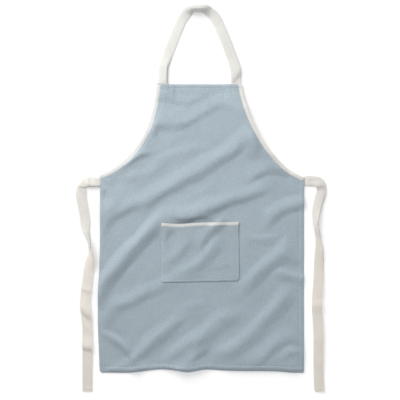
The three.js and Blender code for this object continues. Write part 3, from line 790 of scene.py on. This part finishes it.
def makeTape(name, rows, folds, creamAndPaintedLight, corners=None):  # corners: radii of a free first end
    table = np.array(rows, float)
    full = np.hypot(*np.diff(table[:, :2], axis=0).T).sum()
    ends = np.array([0, 0.6, 1.5, 2.8])
    span = np.linspace(ends[-1], full - ends[-1], int(full / tape["step"]))
    at = np.concatenate([ends, span[1:-1], full - ends[::-1]])
    line = spline(table, at)
    ahead = spline(table, np.minimum(at + 0.5, full))
    behind = spline(table, np.maximum(at - 0.5, 0))
    run = (ahead - behind)[:, :2]
    run /= np.linalg.norm(run, axis=1)[:, None]
    roll, curl = np.radians(line[:, 3:5, None]).transpose(1, 0, 2)
    u = np.linspace(-1, 1, tape["across"] + 1)
    mid = (u[1:] + u[:-1]) / 2
    tilt = roll - curl * ease((mid - line[:, [5]]) / tape["bend"])
    step = tape["width"] / tape["across"]
    zero = np.zeros((len(at), 1))
    spread = np.concatenate([zero, np.cumsum(np.cos(tilt), axis=1)], axis=1) * step
    rise = np.concatenate([zero, np.cumsum(np.sin(tilt), axis=1)], axis=1) * step
    spread -= (spread.max(axis=1) + spread.min(axis=1))[:, None] / 2
    rise -= rise.min(axis=1)[:, None]
    thick = np.tile(tape["thick"] * (1 - tape["thinEdge"] * u ** 4), (len(at), 1))
    free = ease((full - at - tape["sewnHem"]) / tape["freeFade"])  # creases fade where it is sewn
    if corners:
        thick += tape["hemThick"] * ease((tape["endHem"] - at) / 2 + 0.5)[:, None]
        for hand, radius in zip((-1, 1), corners):
            short = np.maximum(0, radius - at)
            pull = radius - np.sqrt(radius ** 2 - short ** 2)
            spread *= np.where(u * hand > 0, 1 - pull[:, None] / tape["width"] * 2, 1)
    else:
        free *= ease((at - tape["sewnHem"]) / tape["freeFade"])
    x = line[:, [0]] - run[:, [1]] * spread
    y = line[:, [1]] + run[:, [0]] * spread
    creases = foldHeight(folds, x.ravel(), y.ravel()).reshape(x.shape) * free[:, None]
    cup = tape["cup"] * (1 - u ** 4) * np.abs(np.cos(tilt)).mean(axis=1)[:, None]
    z = np.maximum(0, line[:, [2]]) + rise + thick / 2 + cup + creases
    piece, column, row = layGrid(name, tape["across"], len(at) - 1)
    points = np.stack([x, y, z], axis=2)
    uv = np.stack(np.broadcast_arrays(u * tape["width"] / 2, at[:, None]), axis=2)
    chosen = row, column
    sewSheet(piece, points[chosen], uv[chosen], thick[chosen], 0, tapeLook, edgeRound=0.45, creamAndPaintedLight=creamAndPaintedLight)
    seamRow = np.argmin(np.abs(at - tape["endHem"] + 3))
    seam = points[seamRow, 1:-1] + thick[seamRow, 1:-1, None] / 2 * np.array((0, 0, 1))
    return piece, full, seam


# cream above a level and below it, and the level: more below, where the cream's extra lightness is
# painted light
neckTint = (0.3, 0.5, 925)
leftTint = (0.5, 0.86, 388)
rightTint = (0.55, 1, 420)
neckStrap, neckLength = makeTape("neck_strap_tape", neckRows, neckFolds, neckTint)[:2]
leftMade = makeTape("tie_left_tape", leftTieRows, leftTieFolds, leftTint, corners=(3, 3))
rightMade = makeTape("tie_right_tape", rightTieRows, rightTieFolds, rightTint, corners=(3, 8))
tieLeft, leftLength, leftTieSeam = leftMade
tieRight, rightLength, rightTieSeam = rightMade
print("tapes: neck %.0f mm, ties %.0f and %.0f mm" % (neckLength, leftLength, rightLength))


# Stitches: one bean of thread, copied along the seams
thread = dict(
    pitch=3.2, length=2.5, width=0.9, height=0.6, creamAndPaintedLight=(0, 0, 0), above=0.1,
    inset=2, sideStop=14, bar=7, barRows=(0.9, 0.915, 0.93),
    strapBox=(24, 18), strapAt=((-121, 889), (106, 889)),
    tieBox=(20, 24), tieAt=((-310, 595), (309, 597.5)),
)


def makeBean():
    bpy.ops.object.select_all(action="DESELECT")
    bpy.ops.mesh.primitive_uv_sphere_add(segments=6, ring_count=4, radius=0.5)
    bean = bpy.context.object
    bpy.ops.object.mode_set(mode="EDIT")
    bpy.ops.mesh.select_all(action="SELECT")
    bpy.ops.transform.rotate(value=math.pi / 2, orient_axis="Y", center_override=(0, 0, 0))
    size = (thread["length"], thread["width"], thread["height"])
    bpy.ops.transform.resize(value=size, center_override=(0, 0, 0))
    bpy.ops.object.mode_set(mode="OBJECT")
    points = np.array([vertex.co[:] for vertex in bean.data.vertices])
    faces = [list(face.vertices) for face in bean.data.polygons]
    bpy.data.objects.remove(bean)
    return points, faces


beanPoints, beanFaces = makeBean()


def sewStitches(name, lines):
    centres, ways = [], []
    half = thread["length"] / 2
    for line in lines:
        gone = np.concatenate([[0], np.cumsum(np.linalg.norm(np.diff(line, axis=0), axis=1))])
        count = max(1, int(gone[-1] / thread["pitch"]))
        at = (np.arange(count) + 0.5) * gone[-1] / count
        before = np.array([np.interp(at - half, gone, axis) for axis in line.T])
        after = np.array([np.interp(at + half, gone, axis) for axis in line.T])
        centres.append((before + after).T / 2)
        ways.append((after - before).T)
    centre, way = np.concatenate(centres), np.concatenate(ways)
    way /= np.linalg.norm(way, axis=1)[:, None]
    side = np.cross((0, 0, 1), way)
    side /= np.linalg.norm(side, axis=1)[:, None]
    up = np.cross(way, side)
    turned = sum(beanPoints[:, k, None] * axis[:, None] for k, axis in enumerate((way, side, up)))
    points = centre[:, None] + turned
    faces = []
    for k in range(len(centre)):
        first = k * len(beanPoints)
        faces += [[first + corner for corner in face] for face in beanFaces]
    mesh = bpy.data.meshes.new(name)
    mesh.from_pydata(toFrame(points.reshape(-1, 3)).tolist(), [], faces)
    mesh.uv_layers.new(name="weave")
    corners = np.empty(len(mesh.loops), int)
    mesh.loops.foreach_get("vertex_index", corners)
    uv = beanPoints[corners % len(beanPoints)][:, [1, 0]] * mm
    mesh.uv_layers[0].data.foreach_set("uv", uv.ravel())
    mesh.materials.append(tapeLook)
    tintMesh(mesh, thread["creamAndPaintedLight"])
    piece = bpy.data.objects.new(name, mesh)
    bpy.context.scene.collection.objects.link(piece)
    mesh.shade_smooth()
    return piece


def onPanel(x, row):
    return panelPoints(np.asarray(x, float), np.asarray(row, float)) + (0, 0, thread["above"])


def onPocket(u, v):
    return pocketPoints(np.asarray(u, float), np.asarray(v, float)) + (0, 0, thread["above"])


def traceBox(x, y, wide, tall):
    corners = [(-1, -1), (1, -1), (1, 1), (-1, 1), (-1, -1), (1, 1)]
    path = np.array(corners) * (wide / 2, tall / 2) + (x, y)
    stops = range(len(path))
    fine = np.linspace(0, len(path) - 1, 80)
    return onPanel(np.interp(fine, stops, path[:, 0]), np.interp(fine, stops, path[:, 1]))


def hemLines():
    lowRow = panel["bottomHem"] - thread["inset"]
    highRow = panel["bibTop"] - panel["topHem"] + thread["inset"]
    inset = panel["sideHem"] - thread["inset"]
    rows = np.linspace(lowRow, panel["waist"] - thread["sideStop"], 260)
    left, right = panelEdges(rows)
    lines = [onPanel(left + inset, rows), onPanel(right - inset, rows)]
    left, right = panelEdges(np.array([0.0]))
    x = np.linspace(left[0] + inset, right[0] - inset, 260)
    lines.append(onPanel(x, np.full(len(x), lowRow)))
    left, right = panelEdges(np.array([float(highRow)]))
    clear = armBinding["reach"] + thread["inset"]
    x = np.linspace(left[0] + clear, right[0] - clear, 120)
    lines.append(onPanel(x, np.full(len(x), highRow)))
    lines += [traceBox(x, y, *thread["strapBox"]) for x, y in thread["strapAt"]]
    return lines + [traceBox(x, y, *thread["tieBox"]) for x, y in thread["tieAt"]]


def pocketLines():
    width = pocket["right"] - pocket["left"]
    tall = pocket["top"] - pocket["bottom"]
    u0, v0 = pocket["seam"] / width, pocket["seam"] / tall
    path = np.array([(u0, 0.99), (u0, v0), (1 - u0, v0), (1 - u0, 0.99)])
    fine = np.linspace(0, 3, 400)
    lines = [onPocket(np.interp(fine, range(4), path[:, 0]), np.interp(fine, range(4), path[:, 1]))]
    bar = np.linspace(0, thread["bar"] / width, 12)
    for side, sign in ((0, 1), (1, -1)):
        lines += [onPocket(side + sign * bar, np.full(len(bar), v)) for v in thread["barRows"]]
    return lines


hemStitches = sewStitches("hem_stitches", hemLines())
pocketStitches = sewStitches("pocket_stitches", pocketLines())
mouthStitches = sewStitches("mouth_stitches", [mouthSeam])
leftStitches = sewStitches("binding_left_stitches", [leftSeam])
rightStitches = sewStitches("binding_right_stitches", [rightSeam])
leftTieStitches = sewStitches("tie_left_stitches", [leftTieSeam])
rightTieStitches = sewStitches("tie_right_stitches", [rightTieSeam])
stitchFaces = sum(len(piece.data.polygons) for piece in (hemStitches, pocketStitches))
print("stitches:", stitchFaces, "faces on the cloth")


# Stage, light and camera
studio = dict(
    floor=30.0, paper=0.652, paperLow=0.42, paperHigh=0.86, glow=0.36, world=0.42,
    frameWidth=1.272, height=2.2, middle=(-0.0042, 0.0027), sensor=36,
    # lights: place, target, size, power and colour
    key=((-1.2, 1.8, 1.45), (0, 0.1, 0), 1.4, 68, (1, 0.99, 0.97)),
    fill=((1.6, -0.8, 2.2), (0, 0, 0), 2.0, 9, (0.97, 0.98, 1)),
)


def makeFloor():
    bpy.ops.object.select_all(action="DESELECT")
    bpy.ops.mesh.primitive_plane_add(size=studio["floor"], location=(0, 0, -0.0002))
    floor = bpy.context.object
    floor.name = "floor"
    material, wire = newMaterial("pale_floor")
    x, y = wire.parts(wire.node("ShaderNodeTexCoord", out=3))
    even = 0.977 + x * 0.1956 - y * 0.3349  # darker paper nearer the key light
    even = even + x * x * 0.0816 + y * y * 0.0307 + x * y * 0.1812
    tone = wire.math("MAXIMUM", even * studio["paper"], studio["paperLow"])
    tone = wire.math("MINIMUM", tone, studio["paperHigh"])
    sockets = {"Base Color": tone, "Roughness": 0.9, "Specular IOR Level": 0.0,
               "Emission Color": (1, 1, 1, 1), "Emission Strength": studio["glow"]}
    shader = wire.node("ShaderNodeBsdfPrincipled", {}, sockets)
    wire.node("ShaderNodeOutputMaterial", {}, {"Surface": shader})
    floor.data.materials.append(material)


def addLight(name, place, target, size, power, colour):
    data = bpy.data.lights.new(name, "AREA")
    data.shape = "DISK"
    data.size = size
    data.energy = power
    data.color = colour
    light = bpy.data.objects.new(name, data)
    light.location = place
    light.rotation_euler = (Vector(target) - Vector(place)).to_track_quat("-Z", "Y").to_euler()
    bpy.context.scene.collection.objects.link(light)


def makeStage():
    makeFloor()
    addLight("key_light", *studio["key"])
    addLight("fill_light", *studio["fill"])
    world = bpy.data.worlds.new("studio")
    world.use_nodes = True
    sky = world.node_tree.nodes["Background"]
    sky.inputs["Color"].default_value = (1, 1, 1, 1)
    sky.inputs["Strength"].default_value = studio["world"]
    bpy.context.scene.world = world
    data = bpy.data.cameras.new("camera")
    data.sensor_width = studio["sensor"]
    data.lens = studio["sensor"] * studio["height"] / studio["frameWidth"]
    camera = bpy.data.objects.new("camera", data)
    camera.location = (*studio["middle"], studio["height"])
    bpy.context.scene.collection.objects.link(camera)
    bpy.context.scene.camera = camera
    bpy.context.scene.view_settings.view_transform = "Standard"


makeStage()
print("stage made")

# Piece, its node and slot, its cloth before sewing and the cut's area, what it lies on, its stitches
sheets = [
    (bodyPanel, "body_panel", "apron_cloth", (0.70, 0.98), 0.60, ["floor"], [hemStitches]),
    (pocketPiece, "pocket", "apron_cloth", (0.267, 0.200), None, ["body_panel_cloth"], [pocketStitches]),
    (mouthPiece, "pocket_binding", "cream_tape", (0.023, 0.245), None, ["pocket_cloth"], [mouthStitches]),
    (bindingLeft, "binding_left", "cream_tape", (0.024, 0.37), None,
     ["body_panel_cloth"], [leftStitches]),
    (bindingRight, "binding_right", "cream_tape", (0.024, 0.37), None,
     ["body_panel_cloth"], [rightStitches]),
    (neckStrap, "neck_strap", "cream_tape", (0.032, neckLength * mm), None, ["floor"], []),
    (tieLeft, "tie_left", "cream_tape", (0.032, leftLength * mm), None, ["floor"], [leftTieStitches]),
    (tieRight, "tie_right", "cream_tape", (0.032, rightLength * mm), None, ["floor"], [rightTieStitches]),
]
for piece, node, slot, flat, area, restsOn, stitches in sheets:
    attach(piece, "root")
    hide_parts(node)
    for stitch in stitches:
        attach(stitch, "root")
